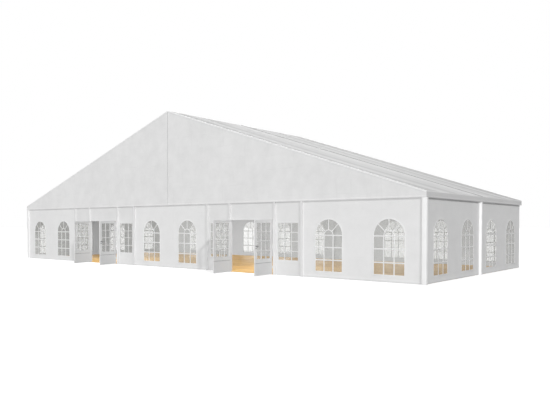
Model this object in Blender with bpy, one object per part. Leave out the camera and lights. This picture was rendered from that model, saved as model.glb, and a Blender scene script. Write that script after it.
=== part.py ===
# Marquee tent: clear span hall of five gable bays, two bays deep, with two double doors in its long gable.
# Metres, +Z up. +X runs along the gables, -Y is the front. The origin is the centre of the plan on the ground.

import math

import bmesh
import bpy
from mathutils import Matrix, Vector

# Overall size
SPAN = 25.0
DEPTH = 10.0
BAY = 5.0
EAVE_Z = 3.03
VALANCE_Z = 2.82
PITCH = math.radians(18.0)
LEFT, RIGHT = -SPAN / 2, SPAN / 2
FRONT, REAR = -DEPTH / 2, DEPTH / 2
POST_LINES = [LEFT + BAY * i for i in (1, 2, 3, 4)]

# Fits between pieces
GAP = 0.0003
BITE = 0.002

# Fabric and clear film, as plain solids
FABRIC = 0.012
GABLE_FABRIC = 0.010
FILM = 0.003

# Frames and posts
FRAME_WIDTH = 0.17
GABLE_FRAME_DEPTH = 0.14
MIDDLE_FRAME_DEPTH = 0.10
RAFTER_DROP = FRAME_WIDTH / math.cos(PITCH)
POST_WIDTH = 0.10
PURLIN_WIDTH = 0.10
RIDGE_PURLIN_DROP = 0.12
EAVE_PURLIN_TOP = 3.015
SHELF_Z = 2.85

# Walls
WALL_RECESS = 0.05
SIDE_RECESS = 0.085
WALL_FOOT = 0.005
GABLE_WALL_TOP = 2.86
SIDE_WALL_TOP = 2.93

# Arched windows
WINDOW_PITCH = 2.43
WINDOW_HALF = 0.575
SILL_Z = 0.25
SPRING_Z = 1.56
END_BAY_SHIFT = 0.085
ARCH_STEPS = 12
FILM_MARGIN = 0.10
FILM_FOOT = 0.15
FILM_TOP = 2.25

# Entrances
ENTRANCE_CENTRES = {"left_entrance": LEFT + 1.5 * BAY, "right_entrance": LEFT + 3.5 * BAY}
DOORWAY_HALF = 1.145
HEAD_Z = 2.13
PANEL_THICK = 0.04
SIDE_GLASS_WIDTH = 0.99
SIDE_GLASS_Z = (0.57, 2.02)
GLASS = 0.006

# Door leaves
LEAF_EDGE_GAP = 0.006
LEAF_MEETING_GAP = 0.008
LEAF_THICK = 0.045
LEAF_Z = (0.025, 2.12)
LEAF_GLASS_Z = (0.63, 2.03)
LEAF_STILE = 0.10
LEAF_GLASS = 0.008
PIVOT_INSET = 0.003
PIVOT_PROUD = 0.012
KNUCKLE_RADIUS = 0.009
KNUCKLE_HEIGHT = 0.05
KNUCKLE_STEPS = 12
HINGE_PLATE = 0.006
HINGE_REACH = 0.047
HINGE_Z = (0.25, 1.05, 1.85)
LEVER_Z = 1.13
LEVER_BAR = 0.02
LEVER_PROUD = 0.06
LEVER_LENGTH = 0.13
LEVER_SETBACK = 0.05
OPEN_ANGLES = {
    ("left_entrance", "left"): 75.0,
    ("left_entrance", "right"): 104.0,
    ("right_entrance", "left"): 83.0,
    ("right_entrance", "right"): 95.0,
}

# Floor
FLOOR_TOP = 0.03
FLOOR_SIDE = 0.105
THRESHOLD_Y = 0.055
THRESHOLD_GAP = 0.005

# Over-length of cutters
CLEAR = 0.1


# Materials
def material(name, colour, roughness, metallic=0.0, alpha=1.0):
    mat = bpy.data.materials.new(name)
    mat.use_nodes = True
    shader = mat.node_tree.nodes["Principled BSDF"]
    shader.inputs["Base Color"].default_value = (*colour, 1.0)
    shader.inputs["Roughness"].default_value = roughness
    shader.inputs["Metallic"].default_value = metallic
    shader.inputs["Alpha"].default_value = alpha
    mat.diffuse_color = (*colour, alpha)
    return mat


# Solids from outlines
def to_world(axis, a, b, along):
    if axis == "X":
        return Vector((along, a, b))
    if axis == "Y":
        return Vector((a, along, b))
    return Vector((a, b, along))


def prism(bm, axis, lo, hi, outline, holes=()):
    """Adds a plate with straight sides: the outline, less its holes, from lo to hi along the axis."""
    edges = []
    for loop in (outline, *holes):
        verts = [bm.verts.new(to_world(axis, a, b, lo)) for a, b in loop]
        edges += [bm.edges.new((v, verts[i - 1])) for i, v in enumerate(verts)]
    normal = to_world(axis, 0.0, 0.0, 1.0)
    filled = bmesh.ops.triangle_fill(bm, use_beauty=True, use_dissolve=False, edges=edges, normal=normal)
    faces = [f for f in filled["geom"] if isinstance(f, bmesh.types.BMFace)]
    extruded = bmesh.ops.extrude_face_region(bm, geom=faces)
    moved = [v for v in extruded["geom"] if isinstance(v, bmesh.types.BMVert)]
    bmesh.ops.translate(bm, verts=moved, vec=to_world(axis, 0.0, 0.0, hi - lo))


def rectangle(a0, a1, b0, b1):
    return [(a0, b0), (a1, b0), (a1, b1), (a0, b1)]


def box(bm, x, y, z):
    prism(bm, "Z", z[0], z[1], rectangle(x[0], x[1], y[0], y[1]))


def arch(centre):
    """The outline of a round-headed window: sill, two jambs and a half circle."""
    points = [(centre - WINDOW_HALF, SILL_Z), (centre + WINDOW_HALF, SILL_Z)]
    for i in range(ARCH_STEPS + 1):
        angle = math.pi * i / ARCH_STEPS
        points.append((centre + WINDOW_HALF * math.cos(angle), SPRING_Z + WINDOW_HALF * math.sin(angle)))
    return points


def finish(name, bm, mat):
    bmesh.ops.recalc_face_normals(bm, faces=bm.faces)
    mesh = bpy.data.meshes.new(name)
    bm.to_mesh(mesh)
    bm.free()
    obj = bpy.data.objects.new(name, mesh)
    bpy.context.scene.collection.objects.link(obj)
    if mat:
        mesh.materials.append(mat)
    return obj


def plate(name, mat, axis, lo, hi, outline, holes=()):
    bm = bmesh.new()
    prism(bm, axis, lo, hi, outline, holes)
    return finish(name, bm, mat)


def combine(obj, bm, operation):
    """Cuts the solids of a bmesh out of an object, or joins them to it."""
    tool = finish(f"{obj.name}_{operation.lower()}_tool", bm, None)
    tool.hide_render = True
    tool.display_type = "WIRE"
    tool.parent = obj.parent
    boolean = obj.modifiers.new(operation.lower(), "BOOLEAN")
    boolean.operation = operation
    boolean.solver = "EXACT"
    boolean.object = tool


# Heights under the roof, at a distance from the tent's middle
def roof_top(x):
    return EAVE_Z + (SPAN / 2 - abs(x)) * math.tan(PITCH)


def rafter_top(x):
    return roof_top(x) - FABRIC / math.cos(PITCH) - GAP


def rafter_foot(x):
    return rafter_top(x) - RAFTER_DROP


def mirrored(points):
    return points + [(-a, b) for a, b in reversed(points)]


# Portal frames
RIDGE_NOTCH = PURLIN_WIDTH / 2 + GAP
RIDGE_PURLIN_TOP = rafter_top(PURLIN_WIDTH / 2) - GAP
RIDGE_NOTCH_Z = RIDGE_PURLIN_TOP - RIDGE_PURLIN_DROP - GAP
VALANCE_BACK = LEFT + FABRIC + GAP
SIDE_WALL_FACE = LEFT + SIDE_RECESS
SIDE_WALL_BACK = SIDE_WALL_FACE + FABRIC
SIDE_FILM_BACK = SIDE_WALL_BACK + GAP + FILM
SHELF_BACK = SIDE_FILM_BACK + GAP
FRAME_STEP_Z = VALANCE_Z - GAP


def frame_outline(leg_outer, has_shelf):
    """Left half of a portal frame, from the ridge down the outside, round the leg and back under the rafter."""
    half = [(-RIDGE_NOTCH, RIDGE_NOTCH_Z), (-RIDGE_NOTCH, rafter_top(RIDGE_NOTCH)), (SHELF_BACK, rafter_top(SHELF_BACK))]
    if has_shelf:
        half += [(SHELF_BACK, SHELF_Z - GAP), (VALANCE_BACK, SHELF_Z - GAP), (VALANCE_BACK, FRAME_STEP_Z)]
        half += [(leg_outer, FRAME_STEP_Z)]
    leg_inner = leg_outer + FRAME_WIDTH
    half += [(leg_outer, 0.0), (leg_inner, 0.0), (leg_inner, rafter_foot(leg_inner)), (0.0, rafter_foot(0.0))]
    return half


def portal_frame(name, y, leg_outer, has_shelf):
    half = frame_outline(leg_outer, has_shelf)
    outline = half + [(-a, b) for a, b in reversed(half[:-1])]
    return plate(name, ALUMINIUM, "Y", y[0], y[1], outline)


def step_back(bm, y_face, inward):
    """A cutter that sets the part behind the gable fabric back from the gable's face."""
    back = y_face + inward * (GABLE_FABRIC + GAP)
    y = sorted((y_face - inward * CLEAR, back))
    box(bm, (LEFT - CLEAR, RIGHT + CLEAR), y, (FRAME_STEP_Z, roof_top(0.0) + CLEAR))


def make_frames():
    gable_y = (FRONT, FRONT + GABLE_FRAME_DEPTH)
    front = portal_frame("front_frame", gable_y, LEFT, True)
    bm = bmesh.new()
    step_back(bm, FRONT, 1)
    combine(front, bm, "DIFFERENCE")
    portal_frame("middle_frame", (-MIDDLE_FRAME_DEPTH / 2, MIDDLE_FRAME_DEPTH / 2), LEFT, True)
    rear = portal_frame("rear_frame", (REAR - GABLE_FRAME_DEPTH, REAR), SHELF_BACK, False)
    bm = bmesh.new()
    step_back(bm, REAR, -1)
    combine(rear, bm, "DIFFERENCE")


# Purlins, which lie in notches of the frames
def make_purlins():
    y = (FRONT + GABLE_FABRIC + GAP, REAR - GABLE_FABRIC - GAP)
    ridge = rectangle(-PURLIN_WIDTH / 2, PURLIN_WIDTH / 2, RIDGE_PURLIN_TOP - RIDGE_PURLIN_DROP, RIDGE_PURLIN_TOP)
    plate("ridge_purlin", ALUMINIUM, "Y", y[0], y[1], ridge)
    x0, x1 = VALANCE_BACK, SIDE_WALL_FACE - GAP
    plate("left_eave_purlin", ALUMINIUM, "Y", y[0], y[1], rectangle(x0, x1, SHELF_Z, EAVE_PURLIN_TOP))
    plate("right_eave_purlin", ALUMINIUM, "Y", y[0], y[1], rectangle(-x1, -x0, SHELF_Z, EAVE_PURLIN_TOP))


# Gable posts, whose upper stretch is behind the gable fabric
def gable_post(name, x, y_face, inward, upper_depth):
    x0, x1 = x - POST_WIDTH / 2, x + POST_WIDTH / 2
    back = y_face + inward * GABLE_FRAME_DEPTH
    upper_face = y_face + inward * upper_depth
    foot = rafter_foot(max(abs(x0), abs(x1))) - GAP
    profile = [(y_face, 0.0), (back, 0.0), (back, foot), (upper_face, foot)]
    profile += [(upper_face, FRAME_STEP_Z), (y_face, FRAME_STEP_Z)]
    post = plate(name, ALUMINIUM, "X", x0, x1, profile)
    for vertex in post.data.vertices:
        if vertex.co.z > FRAME_STEP_Z + CLEAR:
            vertex.co.z = rafter_foot(vertex.co.x) - GAP


REAR_WALL_FACE = REAR - WALL_RECESS
REAR_WALL_BACK = REAR_WALL_FACE - FABRIC
REAR_FILM_BACK = REAR_WALL_BACK - GAP - FILM


def make_posts():
    for number, x in enumerate(POST_LINES, start=1):
        gable_post(f"front_post_{number}", x, FRONT, 1, GABLE_FABRIC + GAP)
        gable_post(f"rear_post_{number}", x, REAR, -1, REAR - REAR_FILM_BACK + GAP)


# Places of the windows
def window_pair(middle):
    return [middle - WINDOW_PITCH / 2, middle + WINDOW_PITCH / 2]


def gable_windows(bay):
    """The two windows of a gable bay, which in the end bays lie nearer the tent's middle."""
    middle = LEFT + BAY * (bay + 0.5)
    if bay in (0, len(POST_LINES)):
        middle -= math.copysign(END_BAY_SHIFT, middle)
    return window_pair(middle)


# Front walls of fabric, with their window film
def make_front_walls():
    corner = LEFT + FRAME_WIDTH + GAP
    post_half = POST_WIDTH / 2 + GAP
    bays = {
        "left": (0, corner, POST_LINES[0] - post_half),
        "middle": (2, POST_LINES[1] + post_half, POST_LINES[2] - post_half),
        "right": (4, POST_LINES[3] + post_half, -corner),
    }
    face = FRONT + WALL_RECESS
    back = face + FABRIC
    for side, (bay, x0, x1) in bays.items():
        centres = gable_windows(bay)
        holes = [arch(c) for c in centres]
        outline = rectangle(x0, x1, WALL_FOOT, GABLE_WALL_TOP)
        plate(f"front_wall_{side}", WALL_FABRIC, "Y", face, back, outline, holes)
        reach = WINDOW_HALF + FILM_MARGIN
        film = rectangle(centres[0] - reach, centres[1] + reach, FILM_FOOT, FILM_TOP)
        plate(f"front_window_film_{side}", CLEAR_FILM, "Y", back + GAP, back + GAP + FILM, film)


# Rear and side walls: one curtain each, slotted where the posts pass, with one sheet of film behind it
def slotted(lo, hi, foot, top, slots, slot_half, slot_top):
    points = [(lo, foot)]
    for centre in slots:
        points += [(centre - slot_half, foot), (centre - slot_half, slot_top)]
        points += [(centre + slot_half, slot_top), (centre + slot_half, foot)]
    return points + [(hi, foot), (hi, top), (lo, top)]


def make_rear_wall():
    x1 = -(SHELF_BACK + FRAME_WIDTH + GAP)
    x0 = -x1
    half = POST_WIDTH / 2 + GAP
    holes = [arch(c) for bay in range(len(POST_LINES) + 1) for c in gable_windows(bay)]
    wall = slotted(x0, x1, WALL_FOOT, GABLE_WALL_TOP, POST_LINES, half, VALANCE_Z)
    film = slotted(x0, x1, FILM_FOOT, GABLE_WALL_TOP, POST_LINES, half, VALANCE_Z)
    plate("rear_wall", WALL_FABRIC, "Y", REAR_WALL_BACK, REAR_WALL_FACE, wall, holes)
    plate("rear_window_film", CLEAR_FILM, "Y", REAR_FILM_BACK, REAR_WALL_BACK - GAP, film)


def make_side_walls():
    y0 = FRONT + GABLE_FRAME_DEPTH + GAP
    y1 = REAR - GABLE_FABRIC - GAP
    half = MIDDLE_FRAME_DEPTH / 2 + GAP
    holes = [arch(c) for c in window_pair((y0 - half) / 2) + window_pair((half + y1) / 2)]
    wall = slotted(y0, y1, WALL_FOOT, SIDE_WALL_TOP, [0.0], half, SHELF_Z)
    film = slotted(y0, y1, FILM_FOOT, SIDE_WALL_TOP, [0.0], half, SHELF_Z)
    for side, sign in (("left", 1), ("right", -1)):
        x = sorted((sign * SIDE_WALL_FACE, sign * SIDE_WALL_BACK))
        plate(f"{side}_side_wall", WALL_FABRIC, "X", x[0], x[1], wall, holes)
        x = sorted((sign * (SIDE_WALL_BACK + GAP), sign * SIDE_FILM_BACK))
        plate(f"{side}_side_window_film", CLEAR_FILM, "X", x[0], x[1], film)


# Hinges: a round knuckle with a flat plate that lies on the face beside it
def hinge_half(bm, toward, z0):
    """Adds the half whose plate runs toward +X or -X, round a pin at the local origin."""
    start = math.asin(HINGE_PLATE / KNUCKLE_RADIUS)
    sweep = start + 1.5 * math.pi
    points = []
    for i in range(KNUCKLE_STEPS + 1):
        angle = start - sweep * i / KNUCKLE_STEPS
        points.append((KNUCKLE_RADIUS * math.cos(angle), KNUCKLE_RADIUS * math.sin(angle)))
    inner = PIVOT_PROUD + BITE
    points += [(0.0, inner), (HINGE_REACH, inner), (HINGE_REACH, HINGE_PLATE)]
    prism(bm, "Z", z0, z0 + KNUCKLE_HEIGHT, [(toward * a, b) for a, b in points])


def pivot(centre, sign):
    """The hinge axis of a leaf: sign is -1 for the left leaf and 1 for the right one."""
    return centre + sign * (DOORWAY_HALF - PIVOT_INSET), FRONT - PIVOT_PROUD


# Entrance side panels, each with the door post that carries a leaf
def make_side_panel(entrance, side, sign, centre):
    inner = DOORWAY_HALF
    post = inner + POST_WIDTH
    outer = BAY / 2 - POST_WIDTH / 2 - GAP
    face, back = FRONT + WALL_RECESS, FRONT + WALL_RECESS + PANEL_THICK
    plan = [(inner, FRONT), (post, FRONT), (post, face), (outer, face), (outer, back), (post, back)]
    plan += [(post, FRONT + GABLE_FRAME_DEPTH), (inner, FRONT + GABLE_FRAME_DEPTH)]
    plan = [(centre + sign * a, b) for a, b in plan]
    name = f"{entrance}_{side}_panel"
    panel = plate(name, PAINTED_PANEL, "Z", 0.0, GABLE_WALL_TOP, plan)

    middle = centre + sign * (post + outer) / 2
    half = SIDE_GLASS_WIDTH / 2
    bm = bmesh.new()
    box(bm, (middle - half, middle + half), (face - CLEAR, back + CLEAR), SIDE_GLASS_Z)
    step_back(bm, FRONT, 1)
    combine(panel, bm, "DIFFERENCE")

    bm = bmesh.new()
    for z in HINGE_Z:
        hinge_half(bm, sign, z)
    x, y = pivot(centre, sign)
    bmesh.ops.translate(bm, verts=bm.verts, vec=(x, y, 0.0))
    combine(panel, bm, "UNION")

    y0 = (face + back - GLASS) / 2
    pane = rectangle(middle - half + GAP, middle + half - GAP, SIDE_GLASS_Z[0] + GAP, SIDE_GLASS_Z[1] - GAP)
    plate(f"{entrance}_{side}_glass", CLEAR_GLASS, "Y", y0, y0 + GLASS, pane)


def make_head(entrance, centre):
    half = DOORWAY_HALF - GAP
    face = FRONT + WALL_RECESS
    outline = rectangle(centre - half, centre + half, HEAD_Z, GABLE_WALL_TOP)
    plate(f"{entrance}_head", PAINTED_PANEL, "Y", face, face + PANEL_THICK, outline)


# Door leaves, modelled shut round their hinge axis and turned open by their parent
LEAF_LENGTH = DOORWAY_HALF - LEAF_EDGE_GAP - LEAF_MEETING_GAP / 2


def make_lever(name, toward, face, outward, hinge):
    """A lever: a neck out of the leaf's face and a grip that points back to the hinge."""
    free = toward * (PIVOT_INSET + LEAF_LENGTH - LEVER_SETBACK)
    neck = free - toward * LEVER_BAR
    tip = free - toward * LEVER_LENGTH
    root = face + outward * GAP
    bend = face + outward * (LEVER_PROUD - LEVER_BAR)
    end = face + outward * LEVER_PROUD
    plan = [(free, root), (free, end), (tip, end), (tip, bend), (neck, bend), (neck, root)]
    lever = plate(name, LEVER_METAL, "Z", LEVER_Z, LEVER_Z + LEVER_BAR, plan)
    lever.parent = hinge


def make_leaf(entrance, side, sign, centre):
    toward = -sign
    x, y = pivot(centre, sign)
    hinge = bpy.data.objects.new(f"{entrance}_{side}_door_hinge", None)
    bpy.context.scene.collection.objects.link(hinge)
    hinge.location = (x, y, 0.0)
    hinge.rotation_euler.z = sign * math.radians(OPEN_ANGLES[(entrance, side)])

    x = sorted((toward * PIVOT_INSET, toward * (PIVOT_INSET + LEAF_LENGTH)))
    outer, inner = PIVOT_PROUD, PIVOT_PROUD + LEAF_THICK
    bm = bmesh.new()
    box(bm, x, (outer, inner), LEAF_Z)
    leaf = finish(f"{entrance}_{side}_door", bm, PAINTED_PANEL)
    leaf.parent = hinge

    bm = bmesh.new()
    glass_x = (x[0] + LEAF_STILE, x[1] - LEAF_STILE)
    pocket = (LEAF_THICK - LEAF_GLASS) / 2
    box(bm, glass_x, (outer - CLEAR, outer + pocket), LEAF_GLASS_Z)
    box(bm, glass_x, (inner - pocket, inner + CLEAR), LEAF_GLASS_Z)
    combine(leaf, bm, "DIFFERENCE")

    bm = bmesh.new()
    for z in HINGE_Z:
        hinge_half(bm, toward, z + KNUCKLE_HEIGHT + GAP)
    combine(leaf, bm, "UNION")

    if side == "right":
        make_lever(f"{entrance}_lever_outside", toward, outer, -1, hinge)
        make_lever(f"{entrance}_lever_inside", toward, inner, 1, hinge)


def make_entrances():
    for entrance, centre in ENTRANCE_CENTRES.items():
        for side, sign in (("left", -1), ("right", 1)):
            make_side_panel(entrance, side, sign, centre)
            make_leaf(entrance, side, sign, centre)
        make_head(entrance, centre)


# Gable fabric in two halves that meet under the ridge
def make_gables():
    outer = SPAN / 2 - FABRIC - GAP
    seam = GAP / 2
    half = [(seam, VALANCE_Z), (outer, VALANCE_Z), (outer, rafter_top(outer)), (seam, rafter_top(seam))]
    for end, y0 in (("front", FRONT), ("rear", REAR - GABLE_FABRIC)):
        for side, sign in (("left", -1), ("right", 1)):
            outline = [(sign * a, b) for a, b in half]
            plate(f"{end}_gable_{side}", ROOF_FABRIC, "Y", y0, y0 + GABLE_FABRIC, outline)


# Roof covers: a slope and its valance, one for each bay and side
def make_roof():
    seam = GAP / 2
    half = SPAN / 2
    drop = FABRIC / math.cos(PITCH)
    inner = half - FABRIC
    profile = [(seam, roof_top(seam)), (half, EAVE_Z), (half, VALANCE_Z), (inner, VALANCE_Z)]
    profile += [(inner, roof_top(inner) - drop), (seam, roof_top(seam) - drop)]
    for bay, y in (("front", (FRONT, -seam)), ("rear", (seam, REAR))):
        for side, sign in (("left", -1), ("right", 1)):
            outline = [(sign * a, b) for a, b in profile]
            plate(f"{bay}_roof_{side}", ROOF_FABRIC, "Y", y[0], y[1], outline)


# Timber floor between the walls, with a threshold in each doorway
def make_floor():
    x = -LEFT - FLOOR_SIDE
    y0 = FRONT + GABLE_FRAME_DEPTH + GAP
    y1 = REAR - GABLE_FRAME_DEPTH - GAP
    notch_x = -LEFT - FRAME_WIDTH - GAP
    notch_y = MIDDLE_FRAME_DEPTH / 2 + GAP
    tongue = DOORWAY_HALF - THRESHOLD_GAP
    sill = FRONT + THRESHOLD_Y
    outline = [(-x, y0)]
    for centre in ENTRANCE_CENTRES.values():
        outline += [(centre - tongue, y0), (centre - tongue, sill), (centre + tongue, sill), (centre + tongue, y0)]
    outline += [(x, y0), (x, -notch_y), (notch_x, -notch_y), (notch_x, notch_y), (x, notch_y), (x, y1)]
    outline += [(-x, y1), (-x, notch_y), (-notch_x, notch_y), (-notch_x, -notch_y), (-x, -notch_y)]
    plate("floor", TIMBER, "Z", 0.0, FLOOR_TOP, outline)


def remove_all():
    for obj in list(bpy.data.objects):
        bpy.data.objects.remove(obj)


remove_all()
ALUMINIUM = material("white_coated_aluminium", (0.86, 0.86, 0.86), 0.35)
ROOF_FABRIC = material("roof_fabric", (0.80, 0.80, 0.80), 0.55)
WALL_FABRIC = material("wall_fabric", (0.82, 0.82, 0.82), 0.55)
CLEAR_FILM = material("clear_film", (0.80, 0.83, 0.80), 0.10, alpha=0.35)
CLEAR_GLASS = material("clear_glass", (0.78, 0.81, 0.80), 0.05, alpha=0.35)
PAINTED_PANEL = material("white_painted_panel", (0.80, 0.80, 0.80), 0.40)
TIMBER = material("timber_floor", (0.60, 0.36, 0.16), 0.45)
LEVER_METAL = material("dark_lever_metal", (0.12, 0.12, 0.12), 0.40)

make_floor()
make_frames()
make_purlins()
make_posts()
make_front_walls()
make_rear_wall()
make_side_walls()
make_entrances()
make_gables()
make_roof()
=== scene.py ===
import math
import random

import bmesh
import bpy
from mathutils import Matrix, Vector, noise
from mathutils.geometry import delaunay_2d_cdt


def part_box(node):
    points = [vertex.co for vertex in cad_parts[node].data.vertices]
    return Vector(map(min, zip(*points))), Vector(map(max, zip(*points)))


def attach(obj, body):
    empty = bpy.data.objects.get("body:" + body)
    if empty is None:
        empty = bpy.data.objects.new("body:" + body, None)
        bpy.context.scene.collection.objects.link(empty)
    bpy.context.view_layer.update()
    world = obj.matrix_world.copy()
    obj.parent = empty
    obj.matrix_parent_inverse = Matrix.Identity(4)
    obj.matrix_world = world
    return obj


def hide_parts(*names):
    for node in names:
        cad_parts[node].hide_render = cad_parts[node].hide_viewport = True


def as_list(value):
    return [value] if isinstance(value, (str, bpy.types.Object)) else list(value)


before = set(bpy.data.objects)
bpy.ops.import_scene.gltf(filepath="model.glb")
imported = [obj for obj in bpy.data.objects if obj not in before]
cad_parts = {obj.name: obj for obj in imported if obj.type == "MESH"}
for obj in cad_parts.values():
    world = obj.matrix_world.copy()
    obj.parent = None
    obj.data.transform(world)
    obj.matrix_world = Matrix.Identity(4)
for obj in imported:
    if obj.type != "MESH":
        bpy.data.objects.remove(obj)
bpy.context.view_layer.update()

scene = bpy.context.scene

# Sizes in metres and angles, shared with the solids
BAY = 5.0
HALF_SPAN = 2.5 * BAY
HALF_DEPTH = BAY
EAVE_Z = 3.03
VALANCE_Z = 2.82
PITCH = math.radians(18.0)
POST_LINES = [(line - 1.5) * BAY for line in range(4)]
COVER = 0.012 / math.cos(PITCH) + 0.0003
MEMBER_HALF = 0.085
LEG_INNER = HALF_SPAN - 2 * MEMBER_HALF
WALL_SET = 0.056
SIDE_SET = 0.091
WINDOW_PITCH = 2.43
END_BAY_SHIFT = 0.085
WINDOW_HALF = 0.575
SILL_Z = 0.25
SPRING_Z = 1.56
DOORWAY_HALF = 1.145
HEAD_Z = 2.13
ENTRANCES = {"left_entrance": -BAY, "right_entrance": BAY}
OPEN_ANGLES = {
    ("left_entrance", "left"): 75.0,
    ("left_entrance", "right"): 104.0,
    ("right_entrance", "left"): 83.0,
    ("right_entrance", "right"): 95.0,
}
WALL_TOP = 2.86
SIDE_WALL_TOP = 2.93
FRAME_DEPTH = 0.14
MIDDLE_FRAME_DEPTH = 0.10
FRAME_LINE = HALF_DEPTH - FRAME_DEPTH / 2
FLOOR_EDGE = 0.1403
PANEL_FACE = 0.05
PANEL_THICK = 0.04
PANEL_END = 2.4494
LEAF_STARTS = (0.003, 1.138)
LEAF_OUTER, LEAF_INNER = 0.012, 0.057
PIN_OUT = 0.012
HINGE_LEVELS = (0.25, 1.05, 1.85)
LEVER_Z = 1.14

# Sizes of the dressing in metres, and the number of board rows
SHEET = 0.0012
WALL_FOOT = 0.008
POST_HALF = 0.0503
FABRIC_GAP = 0.0106
GABLE_GAP = 0.0115
VALANCE_GAP = 0.0135
GABLE_OUT = 0.0052
BOARD_ROWS = 67
BOARD_LENGTH = 2.6
SHORTEST_BOARD = 0.5
THRESHOLD_END = 0.1390
KEYHOLE_Z = 1.06
STEP_Z = VALANCE_Z - 0.0006
BAR_LEVELS = (0.66, 1.12, SPRING_Z)
FAN_RADIUS = 0.195


def roof_top(x):
    return EAVE_Z + (HALF_SPAN - abs(x)) * math.tan(PITCH)


def rafter_foot(x):
    return roof_top(x) - COVER - 2 * MEMBER_HALF / math.cos(PITCH)


def bay_middle(bay):
    """Middle of the two windows of a gable bay, 0 to 4 from the left."""
    middle = (bay - 2) * BAY
    if bay in (0, 4):
        middle -= math.copysign(END_BAY_SHIFT, middle)
    return middle


# Materials
class Tree:
    """Shorter calls for the nodes of one material."""

    def __init__(self, mat):
        self.tree = mat.node_tree
        self.shader = self.tree.nodes["Principled BSDF"]
        coordinates = self.tree.nodes.new("ShaderNodeTexCoord")
        self.place = coordinates.outputs["Object"]

    def node(self, kind, inputs, **settings):
        node = self.tree.nodes.new(kind)
        for key, value in settings.items():
            setattr(node, key, value)
        for key, value in inputs.items():
            if isinstance(value, bpy.types.NodeSocket):
                self.tree.links.new(value, node.inputs[key])
            else:
                node.inputs[key].default_value = value
        return node

    def stretched(self, x, y, z):
        return self.node("ShaderNodeMapping", {"Vector": self.place, "Scale": (x, y, z)}).outputs[0]

    def cloud(self, vector, scale, detail=3.0, roughness=0.5):
        inputs = {"Vector": vector, "Scale": scale, "Detail": detail, "Roughness": roughness}
        return self.node("ShaderNodeTexNoise", inputs).outputs[0]

    def maths(self, operation, a, b):
        return self.node("ShaderNodeMath", {0: a, 1: b}, operation=operation).outputs[0]

    def spread(self, value, lo, hi, to_lo, to_hi):
        inputs = {"Value": value, "From Min": lo, "From Max": hi, "To Min": to_lo, "To Max": to_hi}
        return self.node("ShaderNodeMapRange", inputs).outputs[0]

    def ramp(self, value, stops):
        node = self.node("ShaderNodeValToRGB", {"Fac": value})
        elements = node.color_ramp.elements
        elements[0].position, elements[1].position = stops[0][0], stops[-1][0]
        for place, _ in stops[1:-1]:
            elements.new(place)
        for element, (_, colour) in zip(elements, stops):
            element.color = (*colour, 1.0)
        return node.outputs[0]

    def waves(self, axis, pitch, vector=None, distortion=0.0):
        scale = math.pi / 10.0 / pitch
        inputs = {"Vector": vector or self.place, "Scale": scale, "Distortion": distortion}
        return self.node("ShaderNodeTexWave", inputs, bands_direction=axis).outputs[1]

    def upright(self):
        """Coordinates whose X runs along a wall, whichever way the wall faces."""
        parts = self.node("ShaderNodeSeparateXYZ", {"Vector": self.place}).outputs
        along = self.maths("ADD", parts["X"], parts["Y"])
        return self.node("ShaderNodeCombineXYZ", {"X": along, "Z": parts["Z"]}).outputs[0]

    def bump(self, height, strength, distance, under=None):
        inputs = {"Height": height, "Strength": strength, "Distance": distance}
        if under:
            inputs["Normal"] = under
        return self.node("ShaderNodeBump", inputs).outputs[0]

    def give(self, **sockets):
        for key, value in sockets.items():
            self.tree.links.new(value, self.shader.inputs[key.replace("_", " ")])


def new_material(name, constants):
    mat = bpy.data.materials.new(name)
    mat.use_nodes = True
    for key, value in constants.items():
        mat.node_tree.nodes["Principled BSDF"].inputs[key].default_value = value
    return mat


def grey(value):
    return (value, value, value)


def fold_crease_lines(t, vector, pitches):
    """Faint lines where the sheet was folded, broken up by a mask: 0 on most of it, 1 on a line."""
    total = 0.0
    for axis, pitch in pitches:
        line = t.spread(t.waves(axis, pitch, vector, 1.6), 0.975, 1.0, 0.0, 1.0)
        mask = t.spread(t.cloud(vector, 0.7 / pitch, 2.0), 0.50, 0.62, 0.0, 1.0)
        total = t.maths("ADD", total, t.maths("MULTIPLY", line, mask))
    return total


def weave_relief(t, thread, crease):
    weave = t.maths("MULTIPLY", t.waves("X", thread), t.waves("Z", thread))
    weave = t.maths("MULTIPLY", weave, t.waves("Y", thread))
    return t.bump(weave, 0.15, 0.0002, t.bump(crease, 0.35, 0.004))


def coated_fabric(name, shade, pale, thread):
    """Coated woven sheet: small clouds of tone, fold lines darkened by painted shade in their creases, a
    fine weave and creases.
    """
    mat = new_material(name, {"Specular IOR Level": 0.30})
    t = Tree(mat)
    upright = t.upright()
    clouds = t.cloud(upright, 1.9, 5.0, 0.65)
    broad = t.cloud(upright, 0.42, 3.0)
    tone = t.maths("ADD", t.maths("MULTIPLY", clouds, 0.65), t.maths("MULTIPLY", broad, 0.35))
    marks = fold_crease_lines(t, upright, (("X", 0.62), ("Z", 0.55)))
    # Painted shade: the tone is darker along each fold line, in its crease
    tone = t.maths("SUBTRACT", tone, t.maths("MULTIPLY", marks, 0.10))
    crease = t.maths("SUBTRACT", t.cloud(upright, 3.0, 4.0, 0.55), t.maths("MULTIPLY", marks, 0.20))
    t.give(
        Base_Color=t.ramp(tone, [(0.36, shade), (0.60, pale)]),
        Roughness=t.spread(clouds, 0.3, 0.7, 0.46, 0.60),
        Normal=weave_relief(t, thread, crease),
    )
    return mat


# Painted shade and light of a roof cover: darker and lighter bands standing in for the shading of the
# sagging fabric, from the joint over the middle frame, 0, to the gable, 1
ROOF_PAINTED_SHADE_BANDS = (
    (0.0, 0.64), (0.16, 0.64), (0.26, 0.58), (0.42, 0.575), (0.50, 0.505),
    (0.58, 0.505), (0.68, 0.62), (0.74, 0.62), (0.80, 0.50), (1.0, 0.49),
)


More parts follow.
